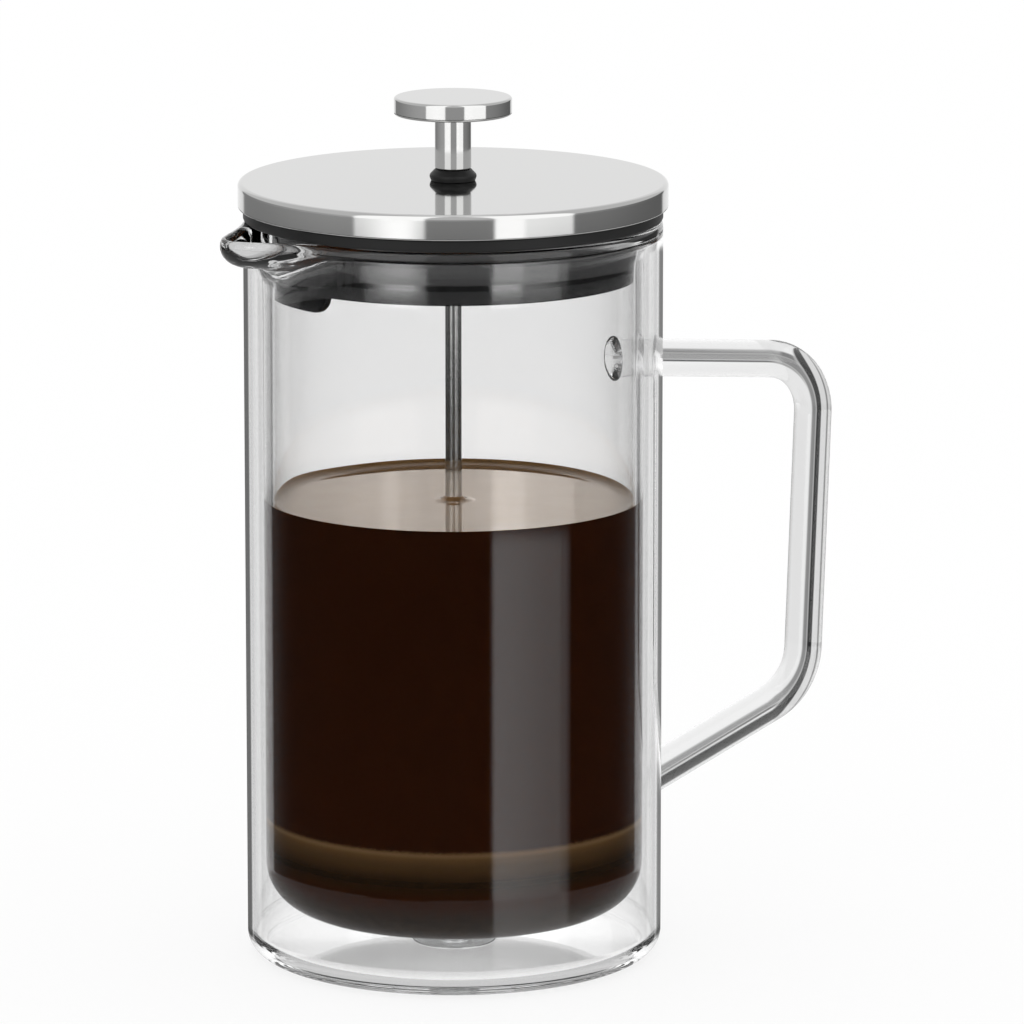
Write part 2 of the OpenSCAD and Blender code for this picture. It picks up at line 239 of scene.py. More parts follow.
class Nodes:
    """Short calls that add nodes to one tree and join them."""

    def __init__(self, tree):
        self.tree = tree
        tree.nodes.clear()

    def add(self, kind, inputs=(), **settings):
        node = self.tree.nodes.new(kind)
        for key, value in settings.items():
            setattr(node, key, value)
        for key, value in dict(inputs).items():
            self.put(node.inputs[key], value)
        return node

    def put(self, socket, value):
        if isinstance(value, bpy.types.NodeSocket):
            self.tree.links.new(value, socket)
        else:
            socket.default_value = value

    def math(self, operation, a, b=0.0):
        node = self.add("ShaderNodeMath", {0: a, 1: b, 2: COMPARE_WITHIN}, operation=operation)
        return node.outputs[0]

    def step(self, value, low, high, start=0.0, end=1.0):
        """Smooth change from start to end as value goes from low to high."""
        ends = {"Value": value, "From Min": low, "From Max": high, "To Min": start, "To Max": end}
        return self.add("ShaderNodeMapRange", ends, interpolation_type="SMOOTHSTEP").outputs["Result"]

    def band(self, value, low, high, soft):
        """1 between low and high, 0 outside, with soft ends."""
        return self.math("MULTIPLY", self.step(value, low - soft, low + soft),
                         self.step(value, high - soft, high + soft, 1.0, 0.0))

    def mix(self, factor, a, b):
        node = self.add("ShaderNodeMix", data_type="RGBA")
        self.put(node.inputs["Factor"], factor)
        self.put(node.inputs[6], a)
        self.put(node.inputs[7], b)
        return node.outputs[2]

    def mix_value(self, factor, a, b):
        node = self.add("ShaderNodeMix", data_type="FLOAT")
        self.put(node.inputs["Factor"], factor)
        self.put(node.inputs[2], a)
        self.put(node.inputs[3], b)
        return node.outputs[0]

    def place(self):
        """Object coordinates in millimetres: the vector, its X, Y and Z, and the distance from the
        Z axis."""
        where = self.add("ShaderNodeTexCoord").outputs["Object"]
        big = self.add("ShaderNodeVectorMath", {0: where, 1: (1 / MM, 1 / MM, 1 / MM)},
                       operation="MULTIPLY").outputs[0]
        x, y, z = self.add("ShaderNodeSeparateXYZ", {0: big}).outputs
        flat = self.math("SQRT", self.math("ADD", self.math("MULTIPLY", x, x), self.math("MULTIPLY", y, y)))
        return big, x, y, z, flat

    def noise(self, vector, scale, detail=2.0, rough=0.5):
        inputs = {"Vector": vector, "Scale": scale, "Detail": detail, "Roughness": rough}
        return self.add("ShaderNodeTexNoise", inputs).outputs["Fac"]

    def bump(self, height, strength, distance):
        inputs = {"Height": height, "Strength": strength, "Distance": distance}
        return self.add("ShaderNodeBump", inputs).outputs["Normal"]

    def finish(self, shader, kind="ShaderNodeOutputMaterial"):
        self.add(kind, {"Surface": shader})


def material(name):
    mat = bpy.data.materials.new(name)
    mat.use_nodes = True
    return mat, Nodes(mat.node_tree)


def principled(n, **inputs):
    return n.add("ShaderNodeBsdfPrincipled", {k.replace("_", " "): v for k, v in inputs.items()})


# ---------------------------------------------------------------- materials

def glass_material(name, edge, low, high):
    """Clear borosilicate glass. Where it is seen edge on, painted shade greys it for its dark edges; the
    long way through the wall greys real glass a little too.
    """
    mat, n = material(name)
    facing = n.add("ShaderNodeLayerWeight", {"Blend": 0.5}).outputs["Facing"]
    # Painted shade: a grey tint on the glass where it is seen edge on
    painted_edge_tint = n.mix(n.step(facing, low, high), (1.0, 1.0, 1.0, 1.0), edge)
    shader = principled(n, Base_Color=painted_edge_tint, Roughness=0.0, IOR=1.47, Transmission_Weight=1.0)
    n.finish(shader.outputs[0])
    return mat


def steel_material(name, tone, rough, spread, circular=True, bump=0.0):
    """Stainless steel with fine brushing, round the axis or at random."""
    mat, n = material(name)
    vector, _x, _y, z, flat = n.place()
    if circular:
        lines_per_mm = 9.0
        lines = n.add("ShaderNodeCombineXYZ", {0: n.math("MULTIPLY", flat, lines_per_mm),
                                               1: n.math("MULTIPLY", z, lines_per_mm)})
        grain = n.noise(lines.outputs[0], 1.0, 3.0)
    else:
        grain = n.noise(vector, 3.0, 3.0)
    cloud = n.noise(vector, 0.05, 2.0)
    level = n.math("ADD", n.math("MULTIPLY", grain, 0.7), n.math("MULTIPLY", cloud, 0.3))
    roughness = n.math("ADD", n.math("MULTIPLY", level, spread), rough - spread / 2)
    colour = n.mix(grain, tuple(0.97 * c for c in tone[:3]) + (1.0,), tone)
    inputs = {"Base_Color": colour, "Roughness": roughness, "Metallic": 1.0}
    if bump:
        inputs["Normal"] = n.bump(grain, bump, 0.00002)
    n.finish(principled(n, **inputs).outputs[0])
    return mat


def plastic_material(name, colour, rough, grain_scale, bump, specular):
    """Moulded plastic or rubber with a fine grain and a slightly uneven gloss."""
    mat, n = material(name)
    vector = n.place()[0]
    grain = n.noise(vector, grain_scale, 3.0)
    cloud = n.noise(vector, 0.15, 2.0)
    tone = n.mix(cloud, colour, tuple(min(1.0, c * 1.25) for c in colour[:3]) + (1.0,))
    roughness = n.math("ADD", n.math("MULTIPLY", cloud, 0.06), rough)
    n.finish(principled(n, Base_Color=tone, Roughness=roughness, IOR=1.5, Specular_IOR_Level=specular,
                        Normal=n.bump(grain, bump, 0.00005)).outputs[0])
    return mat


def silicone_material(name):
    """Clear, slightly cloudy silicone."""
    mat, n = material(name)
    vector = n.place()[0]
    grain = n.noise(vector, 1.5, 3.0)
    tone = n.mix(grain, (0.90, 0.92, 0.92, 1.0), (0.96, 0.97, 0.97, 1.0))
    roughness = n.math("ADD", n.math("MULTIPLY", grain, 0.1), 0.12)
    n.finish(principled(n, Base_Color=tone, Roughness=roughness, IOR=1.41, Transmission_Weight=0.9,
                        Normal=n.bump(grain, 0.1, 0.0001)).outputs[0])
    return mat


def mesh_material(name):
    """Fine woven steel wire: the wires stand out in bump and colour, dark between them."""
    mat, n = material(name)
    _v, x, y, z, flat = n.place()
    turn = n.math("MULTIPLY", n.math("ARCTAN2", y, x), MESH_R)
    on_side = n.step(flat, MESH_R - 2.2, MESH_R - 1.2)
    u = n.mix_value(on_side, x, turn)
    v = n.mix_value(on_side, y, z)
    wire_pitch = 0.42
    waves = math.pi / wire_pitch
    warp = n.math("ABSOLUTE", n.math("SINE", n.math("MULTIPLY", u, waves)))
    weft = n.math("ABSOLUTE", n.math("SINE", n.math("MULTIPLY", v, waves)))
    wires = n.math("MAXIMUM", warp, weft)
    tone = n.mix(n.step(wires, 0.55, 0.85), (0.10, 0.10, 0.10, 1.0), (0.62, 0.61, 0.59, 1.0))
    n.finish(principled(n, Base_Color=tone, Roughness=0.32, Metallic=0.9,
                        Normal=n.bump(wires, 0.5, 0.0001)).outputs[0])
    return mat


def coffee_side_material(name):
    """Coffee against the glass: opaque dark brown, mottled in the settled grounds, with a painted tan band
    above the filter standing in for its lit edge seen through the coffee, and clear enough at the filter's
    height for its edge to show."""
    mat, n = material(name)
    vector, _x, _y, z, _flat = n.place()
    mottle = n.noise(vector, 0.45, 4.0, 0.6)
    fine = n.noise(vector, 2.2, 3.0, 0.6)
    mottled_z = n.math("ADD", z, n.math("MULTIPLY", n.math("SUBTRACT", mottle, 0.5), 3.0))
    rough_z = n.math("ADD", z, n.math("MULTIPLY", n.math("SUBTRACT", fine, 0.5), 1.2))
    body = n.mix(n.step(z, 34.0, 100.0), (0.066, 0.0150, 0.0022, 1.0), (0.060, 0.0130, 0.0015, 1.0))
    grounds = n.mix(mottle, (0.030, 0.018, 0.012, 1.0), (0.085, 0.055, 0.036, 1.0))
    colour = n.mix(n.step(mottled_z, 17.0, 22.0), grounds, body)
    # Painted light: a tan band standing in for the filter's lit edge seen through the coffee, lighter
    # upwards
    painted_filter_glow = n.mix(n.step(z, 26.0, 34.0), (0.07, 0.032, 0.010, 1.0), (0.30, 0.165, 0.065, 1.0))
    # Painted highlight: a pale line along the top of that band
    painted_filter_glow = n.mix(n.step(z, 32.6, 33.8), painted_filter_glow, (0.44, 0.26, 0.12, 1.0))
    in_filter_glow = n.math("MULTIPLY", n.step(rough_z, 21.5, 27.0), n.step(rough_z, 33.6, 34.9, 1.0, 0.0))
    colour = n.mix(in_filter_glow, colour, painted_filter_glow)
    dark = principled(n, Base_Color=colour, Roughness=0.35, Specular_IOR_Level=0.0)
    clear = n.add("ShaderNodeBsdfTransparent", {"Color": (0.62, 0.42, 0.24, 1.0)})
    clear_share = n.math("MULTIPLY", n.band(rough_z, 25.0, 32.0, 1.6), 0.25)
    both = n.add("ShaderNodeMixShader", {0: clear_share, 1: dark.outputs[0], 2: clear.outputs[0]})
    n.finish(both.outputs[0])
    return mat


def coffee_core_material(name):
    """The dark inside of the coffee, behind what shows of the filter."""
    mat, n = material(name)
    vector = n.place()[0]
    mottle = n.noise(vector, 0.45, 4.0, 0.6)
    colour = n.mix(mottle, (0.010, 0.004, 0.0018, 1.0), (0.022, 0.010, 0.005, 1.0))
    n.finish(principled(n, Base_Color=colour, Roughness=0.6, IOR=1.2).outputs[0])
    return mat


def coffee_top_material(name):
    """The free surface: thin brown crema and oil under a water-smooth skin."""
    mat, n = material(name)
    vector, _x, _y, _z, flat = n.place()
    swirl = n.noise(vector, 0.09, 3.0, 0.55)
    base = n.mix(swirl, (0.50, 0.27, 0.11, 1.0), (0.60, 0.34, 0.15, 1.0))
    edge = n.step(flat, BORE_R - 2.4, BORE_R - 0.2)
    colour = n.mix(edge, base, (0.62, 0.34, 0.13, 1.0))
    depth = n.add("ShaderNodeBsdfDiffuse", {"Color": colour})
    skin = n.add("ShaderNodeBsdfGlossy", {"Color": (1.0, 0.93, 0.86, 1.0), "Roughness": 0.03})
    share = n.add("ShaderNodeFresnel", {"IOR": 1.55}).outputs[0]
    n.finish(n.add("ShaderNodeMixShader", {0: share, 1: depth.outputs[0], 2: skin.outputs[0]}).outputs[0])
    return mat


def floor_material(name):
    """White paper, lit mostly from within so that only a faint shadow shows on it."""
    mat, n = material(name)
    vector = n.add("ShaderNodeTexCoord").outputs["Object"]
    paper = n.noise(vector, 3.0, 2.0)
    tone = n.mix(paper, (0.990, 0.990, 0.990, 1.0), (1.0, 1.0, 1.0, 1.0))
    lit = n.add("ShaderNodeBsdfDiffuse", {"Color": tone})
    glow = n.add("ShaderNodeEmission", {"Color": (1.0, 1.0, 1.0, 1.0), "Strength": 1.0})
    glow_share = 0.84
    both = n.add("ShaderNodeMixShader", {0: glow_share, 1: lit.outputs[0], 2: glow.outputs[0]})
    n.finish(both.outputs[0])
    return mat


GLASS_WALL = glass_material("glass_wall", (0.86, 0.87, 0.87, 1.0), 0.80, 1.0)
GLASS_ROD = glass_material("glass_rod", (0.80, 0.81, 0.81, 1.0), 0.70, 1.0)
POLISHED = steel_material("steel_polished", (0.55, 0.55, 0.545, 1.0), 0.07, 0.03)
SATIN = steel_material("steel_satin", (0.66, 0.66, 0.65, 1.0), 0.26, 0.14, circular=False, bump=0.15)
ROD_STEEL = steel_material("steel_rod", (0.62, 0.62, 0.61, 1.0), 0.10, 0.05)
PLASTIC = plastic_material("plastic_black", (0.010, 0.010, 0.011, 1.0), 0.16, 6.0, 0.05, 0.35)
RUBBER = plastic_material("rubber_black", (0.009, 0.009, 0.009, 1.0), 0.42, 5.0, 0.2, 0.25)
SILICONE = silicone_material("silicone_clear")
WIRE_MESH = mesh_material("steel_mesh")
COFFEE_SIDE = coffee_side_material("coffee_side")
COFFEE_CORE = coffee_core_material("coffee_core")
COFFEE_TOP = coffee_top_material("coffee_surface")


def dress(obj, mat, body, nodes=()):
    """Gives a piece its body and, if any, its material and slot, and hides the CAD nodes that it stands
    for.
    """
    if mat is not None:
        obj.data.materials.clear()
        obj.data.materials.append(mat)
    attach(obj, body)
    if nodes:
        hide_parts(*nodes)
    return obj


# ---------------------------------------------------------------- carafe glass

SPOUT_HALF = math.radians(36.0)  # from the spout's middle to where it has run out into the rim
SPOUT_BLUNT = math.radians(2.5)  # roundness of its nose
SPOUT_RUN = math.radians(11.5)  # how quickly it narrows from its middle


def spout_share(angle):
    """How far the rim is drawn out into the spout at an angle: 1 at the spout's middle, 0 away from it."""
    off = abs(angle % (2 * math.pi) - math.pi)
    if off >= SPOUT_HALF:
        return 0.0
    run = (math.sqrt(off ** 2 + SPOUT_BLUNT ** 2) - SPOUT_BLUNT) / SPOUT_RUN
    return math.exp(-run ** 1.25) * (1 - (off / SPOUT_HALF) ** 4) ** 2


def lerp(a, b, t):
    """Outline a share t of the way from outline a to outline b."""
    return [tuple(x + (y - x) * t for x, y in zip(p, q)) for p, q in zip(a, b)]


# Heights in these four tables are measured from the top of the rim. The first two go up the outer wall,
# over the rim and down into the bore; the other two go over the top of the air space. Each pair holds
# the outline away from the spout and at its middle.
RIM_WALL = curve([
    (SHELL_R, -14.0), (SHELL_R, -12.0), (SHELL_R, -10.0), (SHELL_R, -8.0), (SHELL_R, -6.5),
    (SHELL_R, -5.0), (SHELL_R, -3.8), (SHELL_R, -2.6), (SHELL_R, -1.7), (49.7, -0.7), (48.9, -0.1),
    (47.6, 0.0), (46.2, -0.1), (45.0, -0.6), (44.2, -1.4), (43.85, -2.6), (BORE_R, -4.0),
    (BORE_R, -6.0), (BORE_R, -9.0), (BORE_R, -14.0)])
RIM_SPOUT = curve([
    (SHELL_R, -14.0), (SHELL_R, -11.5), (SHELL_R, -9.8), (50.15, -8.7), (50.9, -7.9), (53.0, -7.5),
    (56.4, -7.2), (59.6, -6.1), (61.6, -4.2), (62.25, -2.0), (61.9, -0.5), (60.9, -0.2),
    (60.0, -1.0), (58.9, -2.5), (56.8, -3.7), (53.5, -4.1), (49.6, -4.4), (46.4, -5.2), (44.3, -7.4),
    (BORE_R, -14.0)])
CAVITY_WALL = curve([
    (BEAKER_R, -22.0), (BEAKER_R, -14.0), (BEAKER_R, -7.0), (45.78, -4.8), (45.95, -3.6), (46.35, -2.9),
    (46.87, -2.65), (47.4, -2.9), (47.8, -3.6), (47.97, -4.8), (CAVITY_R, -10.0), (CAVITY_R, -22.0)])
CAVITY_SPOUT = curve([
    (BEAKER_R, -22.0), (BEAKER_R, -17.0), (BEAKER_R, -13.0), (45.85, -11.4), (46.1, -10.3), (46.5, -9.6),
    (47.0, -9.3), (47.5, -9.7), (47.85, -10.6), (47.97, -12.0), (CAVITY_R, -16.0), (CAVITY_R, -22.0)])
# Fixed parts of the outline, before, between and after those
BEAKER_UNDER = rounded([(0, BEAKER_Z), (BEAKER_R, BEAKER_Z, 12.0), (BEAKER_R, WALL_CUT)], step=5.0)
CAVITY_LOW = rounded([
    (CAVITY_R, WALL_CUT), (CAVITY_R, BASE_T, BASE_CORNER - 1.0), (PLUG_HOLE_R, BASE_T, 0.3),
    (PLUG_HOLE_R, PLUG_SEAT_Z, 0.15), (PLUG_R + PLUG_GAP, PLUG_SEAT_Z, 0.15), (PLUG_R + PLUG_GAP, 0.0, 0.3),
    (SHELL_R, 0.0, BASE_CORNER), (SHELL_R, WALL_CUT)], step=5.0)
BORE = rounded([(BORE_R, WALL_CUT), (BORE_R, FLOOR_Z, 10.0), (0, FLOOR_Z)], step=5.0)


def from_rim(points):
    return [(r, RIM_Z + z) for r, z in points]


def carafe_outline(angle):
    share = spout_share(angle)
    return (BEAKER_UNDER + from_rim(lerp(CAVITY_WALL, CAVITY_SPOUT, share)) + CAVITY_LOW
            + from_rim(lerp(RIM_WALL, RIM_SPOUT, share)) + BORE)


def carafe_angles():
    """Even angles, closer together at the spout."""
    coarse, fine = math.radians(1.5), math.radians(0.6)
    angles, a = [], 0.0
    while a < 2 * math.pi - 1e-6:
        angles.append(a)
        a += fine if abs(a - math.pi) < SPOUT_HALF else coarse
    return angles


glass_carafe = turned("glass_carafe", carafe_outline, carafe_angles(), angle=60)
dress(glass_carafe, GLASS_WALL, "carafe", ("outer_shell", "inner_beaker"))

# ---------------------------------------------------------------- glass handle

HANDLE_R = 4.6
HANDLE_PATH = [Vector((50.0, 0.0, 140.5)), Vector((102.6, 0.0, 135.0)), Vector((99.4, 0.0, 53.5)),
               Vector((50.0, 0.0, 33.5))]
HANDLE_BENDS = {1: 14.0, 2: 15.0}  # radius of the bend at each inner point of the path
BEND_STEPS = 24
# Flare at each root: distance from the root's start, and radius
HANDLE_FLARE = [(-0.9, HANDLE_R + 0.9), (0.1, HANDLE_R + 0.8), (0.5, HANDLE_R + 0.55),
                (1.0, HANDLE_R + 0.32), (1.7, HANDLE_R + 0.14), (2.6, HANDLE_R + 0.04), (3.6, HANDLE_R),
                (4.2, HANDLE_R)]


def handle_stations():
    """Places along the handle from the upper root to the lower one, with a small flare at each."""
    side = Vector((0.0, 1.0, 0.0))
    line = []
    for i, here in enumerate(HANDLE_PATH):
        if i not in HANDLE_BENDS:
            line.append(here)
            continue
        back = (HANDLE_PATH[i - 1] - here).normalized()
        ahead = (HANDLE_PATH[i + 1] - here).normalized()
        half = back.angle(ahead) / 2
        run = HANDLE_BENDS[i] / math.tan(half)
        centre = here + (back + ahead).normalized() * (HANDLE_BENDS[i] / math.sin(half))
        start = here + back * run - centre
        turn = math.pi - 2 * half
        for k in range(BEND_STEPS + 1):
            line.append(centre + Matrix.Rotation(turn * k / BEND_STEPS, 3, side) @ start)
    outward = (line[1] - line[0]).normalized()
    stations = [(line[0] + outward * distance, outward, side, radius) for distance, radius in HANDLE_FLARE]
    bend_starts = (1, BEND_STEPS + 2)
    bend_ends = (BEND_STEPS + 1, 2 * BEND_STEPS + 2)
    for i in range(1, len(line) - 1):
        # A bend's ends take the direction of the straight leg that they meet
        before = line[i] if i in bend_ends else line[i - 1]
        after = line[i] if i in bend_starts else line[i + 1]
        stations.append((line[i], (after - before).normalized(), side, HANDLE_R))
    inward = (line[-1] - line[-2]).normalized()
    for distance, radius in reversed(HANDLE_FLARE):
        stations.append((line[-1] - inward * distance, inward, side, radius))
    return stations


glass_handle = swept("glass_handle", handle_stations(), 56, 60)
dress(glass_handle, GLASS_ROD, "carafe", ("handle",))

# ---------------------------------------------------------------- vent plug

plug = lathe("silicone_plug", rounded([
    (0, 0.0), (PLUG_R, 0.0, 0.25), (PLUG_R, PLUG_SEAT_Z - PLUG_GAP, 0.2),
    (PLUG_STEM_R, PLUG_SEAT_Z - PLUG_GAP, 0.1), (PLUG_STEM_R, BASE_T + 1.0, 0.8), (0, BASE_T + 1.0)]))
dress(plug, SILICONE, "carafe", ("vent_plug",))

# ---------------------------------------------------------------- coffee (contents)

WETTED = 0.1  # the coffee reaches this far into the glass, so that no film of air shows between them
COFFEE_R = BORE_R + WETTED
coffee_skin = rounded([
    (0, FLOOR_Z - WETTED), (COFFEE_R, FLOOR_Z - WETTED, 10.1), (COFFEE_R, WALL_CUT)], step=5.0)
coffee_skin += [(COFFEE_R, COFFEE_Z + 1.3)]
# The free surface, which climbs a little at the glass and at the rod
coffee_free = curve([
    (COFFEE_R - 0.02, COFFEE_Z + 1.35), (43.45, COFFEE_Z + 1.30), (43.0, COFFEE_Z + 0.75),
    (42.2, COFFEE_Z + 0.32), (41.0, COFFEE_Z + 0.08), (38.0, COFFEE_Z), (20.0, COFFEE_Z), (7.0, COFFEE_Z),
    (4.2, COFFEE_Z + 0.08), (3.0, COFFEE_Z + 0.35), (2.3, COFFEE_Z + 0.9), (1.9, COFFEE_Z + 1.1)], 4)
coffee_free += [(0, COFFEE_Z + 1.1)]
coffee = lathe("coffee", coffee_skin + coffee_free, FINE, angle=80)
coffee.data.materials.append(COFFEE_SIDE)
coffee.data.materials.append(COFFEE_TOP)
for polygon in coffee.data.polygons:
    polygon.material_index = int(polygon.center.z > (COFFEE_Z - 0.2) * MM
                                 and math.hypot(*polygon.center[:2]) < (COFFEE_R - 0.01) * MM)
dress(coffee, None, "carafe")

CORE_R = BORE_R - 0.75
CORE_LOW = FLOOR_Z + 0.7
CORE_TOP = 50.0
core = lathe("coffee_core", rounded([
    (0, CORE_LOW), (CORE_R, CORE_LOW, 9.2), (CORE_R, CORE_TOP, 1.0), (0, CORE_TOP)], step=5.0), FINE)
dress(core, COFFEE_CORE, "carafe")

# ---------------------------------------------------------------- gasket

GASKET_LOW = RIM_Z + 0.05
GASKET_TOP = CAP_LOW - 0.03
LIP_R = BORE_R + 2.6
LIP_TOP = COLLAR_TOP - 3.4
gasket = lathe("gasket_ring", rounded([
    (BORE_R, GASKET_LOW, 0.3), (GASKET_R, GASKET_LOW, 0.5), (GASKET_R, GASKET_TOP, 0.5),
    (LIP_R, GASKET_TOP, 0.1), (LIP_R, LIP_TOP, 0.4), (BORE_R, LIP_TOP, 0.4)],
    closed=True), FINE, closed=True)
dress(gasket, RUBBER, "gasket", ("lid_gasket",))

# ---------------------------------------------------------------- lid

CAP_T = 1.0
cap = lathe("steel_cap", rounded([
    (CAP_BORE_R, CAP_TOP, 0.1), (CAP_R, CAP_TOP, 1.1), (CAP_R, CAP_LOW, 0.35),
    (CAP_R - CAP_T, CAP_LOW, 0.35), (CAP_R - CAP_T, CAP_TOP - CAP_T, 0.4),
    (CAP_BORE_R, CAP_TOP - CAP_T, 0.1)],
    closed=True), FINE, closed=True)
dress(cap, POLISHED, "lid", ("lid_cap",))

COLLAR_R = BORE_R - 0.4
COLLAR_IN = COLLAR_R - 1.8
SKIRT_Z = COLLAR_LOW + 4.0
DECK_R = CAP_R - 1.15
DECK_Z = COLLAR_TOP - 3.0
FLANGE_R = DECK_R - 2.6
HUB_R = 7.0
HUB_Z = SKIRT_Z + 10.0
TONGUE_HALF = COLLAR_R * math.sin(math.radians(18.0))
TONGUE_CORNER = 4.0


def skirt_bottom(angle):
    """Height of the skirt's lower edge, which drops into a rounded tongue at the spout."""
    across = COLLAR_R * abs(math.sin(angle)) if math.cos(angle) < 0 else math.inf
    if across >= TONGUE_HALF:
        return SKIRT_Z
    if across <= TONGUE_HALF - TONGUE_CORNER:
        return COLLAR_LOW
    past = across - (TONGUE_HALF - TONGUE_CORNER)
    return SKIRT_Z - math.sqrt(max(0.0, TONGUE_CORNER ** 2 - past ** 2))


def collar_outline(angle):
    low = skirt_bottom(angle)
    edge = 0.35
    return rounded([
        (CAP_BORE_R, COLLAR_TOP, 0.1), (DECK_R, COLLAR_TOP, 0.3), (DECK_R, CAP_LOW, 0.3),
        (FLANGE_R, CAP_LOW, 0.3), (FLANGE_R, DECK_Z, 0.5), (COLLAR_R, DECK_Z, 0.5), (COLLAR_R, low, edge),
        (COLLAR_IN, low, edge), (COLLAR_IN, DECK_Z, 0.6), (HUB_R, DECK_Z, 0.6), (HUB_R, HUB_Z, 0.4),
        (CAP_BORE_R, HUB_Z, 0.1)], closed=True)


def collar_angles():
    """Even angles, with more where the tongue's corners are."""
    extra = [math.asin((TONGUE_HALF - TONGUE_CORNER * k) / COLLAR_R)
             for k in (0.0, 0.004, 0.02, 0.05, 0.1, 0.18, 0.28, 0.4, 0.55, 0.7, 0.85, 1.0)]
    angles = even_angles(FINE) + [math.pi + s * e for e in extra for s in (-1, 1)]
    return sorted(angles)


SLOTS_A_SIDE = 5
SLOT_FIRST, SLOT_PITCH = 15.0, 3.3  # degrees from the middle of the tongue, and from slot to slot
SLOT_SIZE = (4.0, 1.0, 11.0)  # depth, width and height of a block that cuts one slot


def slot_cutters():
    """One mesh of thin blocks that cut the strainer's slots."""
    bm = bmesh.new()
    size = Matrix.Diagonal(tuple(length * MM for length in SLOT_SIZE) + (1.0,))
    move = Matrix.Translation(((COLLAR_R - 0.9) * MM, 0.0, (SKIRT_Z + 7.5) * MM))
    for side in (-1, 1):
        for i in range(SLOTS_A_SIDE):
            turn = Matrix.Rotation(math.pi + side * math.radians(SLOT_FIRST + i * SLOT_PITCH), 4, "Z")
            bmesh.ops.create_cube(bm, size=1.0, matrix=turn @ move @ size)
    mesh = bpy.data.meshes.new("slot_cutters")
    bm.to_mesh(mesh)
    bm.free()
    return new_object("slot_cutters", mesh)


def cut_away(obj, cutter, angle):
    """Takes the cutter's solid out of a piece's mesh for good."""
    modifier = obj.modifiers.new("cut", "BOOLEAN")
    modifier.operation, modifier.solver, modifier.object = "DIFFERENCE", "EXACT", cutter
    graph = bpy.context.evaluated_depsgraph_get()
    graph.update()
    made = bpy.data.meshes.new_from_object(obj.evaluated_get(graph))
    obj.modifiers.remove(modifier)
    obj.data = made
    bpy.data.objects.remove(cutter)
    smooth(made, angle)


collar = turned("strainer_collar_black", collar_outline, collar_angles(), closed=True)
cut_away(collar, slot_cutters(), 35)
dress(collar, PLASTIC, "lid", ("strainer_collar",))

BUSH_HEAD_R = 4.95  # the grommet fits over the guide bush's head
BUSH_HEAD_TOP = CAP_TOP + 0.85
GROMMET_BORE_R = 2.2
grommet = lathe("rubber_grommet", rounded([
    (BUSH_HEAD_R, CAP_TOP + 0.02, 0.0), (GROMMET_R - 0.5, CAP_TOP + 0.02, 0.3),
    (GROMMET_R, CAP_TOP + 1.3, 0.9), (4.3, GROMMET_TOP, 0.5), (GROMMET_BORE_R, GROMMET_TOP, 0.2),
    (GROMMET_BORE_R, BUSH_HEAD_TOP, 0.0), (BUSH_HEAD_R, BUSH_HEAD_TOP, 0.0)],
    closed=True), COARSE, closed=True)
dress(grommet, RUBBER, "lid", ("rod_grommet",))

# ---------------------------------------------------------------- plunger

KNOB_BORE_TOP = ROD_TOP + 0.05
knob = lathe("steel_knob", rounded([
    (0, KNOB_TOP), (KNOB_R, KNOB_TOP, 0.6), (KNOB_R, KNOB_LOW, 0.6), (KNOB_BORE_R, KNOB_LOW, 0.2),
    (KNOB_BORE_R, KNOB_BORE_TOP, 0.1), (0, KNOB_BORE_TOP)]), FINE)
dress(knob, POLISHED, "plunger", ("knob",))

STEM_TOP = KNOB_LOW - 0.02
stem = lathe("steel_stem", rounded([
    (KNOB_BORE_R, STEM_TOP, 0.1), (STEM_R, STEM_TOP, 0.25), (STEM_R, STEM_LOW, 0.3),
    (KNOB_BORE_R, STEM_LOW, 0.1)], closed=True), COARSE, closed=True)
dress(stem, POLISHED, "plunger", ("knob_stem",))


THREAD_LENGTH = 7.0
THREAD_PITCH = 0.7
THREAD_DEPTH = 0.28


def rod_outline():
    """Plain rod with a rolled thread on its lower end."""
    points = [(0, ROD_LOW), (ROD_R - 0.5, ROD_LOW)]
    z = ROD_LOW + 0.5
    while z < ROD_LOW + THREAD_LENGTH:
        points += [(ROD_R, z), (ROD_R - THREAD_DEPTH, z + THREAD_PITCH / 2)]
        z += THREAD_PITCH
    return points + [(ROD_R, z), (ROD_R, z + 0.4), (ROD_R, ROD_TOP - 0.6), (ROD_R, ROD_TOP - 0.35),
                     (ROD_R - 0.35, ROD_TOP), (0, ROD_TOP)]


rod = lathe("steel_rod_long", rod_outline(), 64, angle=30)
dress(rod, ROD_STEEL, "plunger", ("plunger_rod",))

# ---------------------------------------------------------------- filter

WIRE_R = 0.42
COIL_MID_R = (SPRING_TOP - SPRING_LOW) / 2 - WIRE_R
COIL_RING_R = SPRING_R - (SPRING_TOP - SPRING_LOW) / 2
COIL_MID_Z = (SPRING_TOP + SPRING_LOW) / 2
COIL_TURNS, TURN_STEPS, WIRE_SIDES = 110, 12, 6


def on_ring(turn, r, z):
    return Vector((r * math.cos(turn), r * math.sin(turn), z))


def coil_centre(i, total):
    """The middle of the wire at step i of its way round the ring."""
    wind = 2 * math.pi * i / TURN_STEPS
    return on_ring(2 * math.pi * i / total, COIL_RING_R + COIL_MID_R * math.cos(wind),
                   COIL_MID_Z + COIL_MID_R * math.sin(wind))


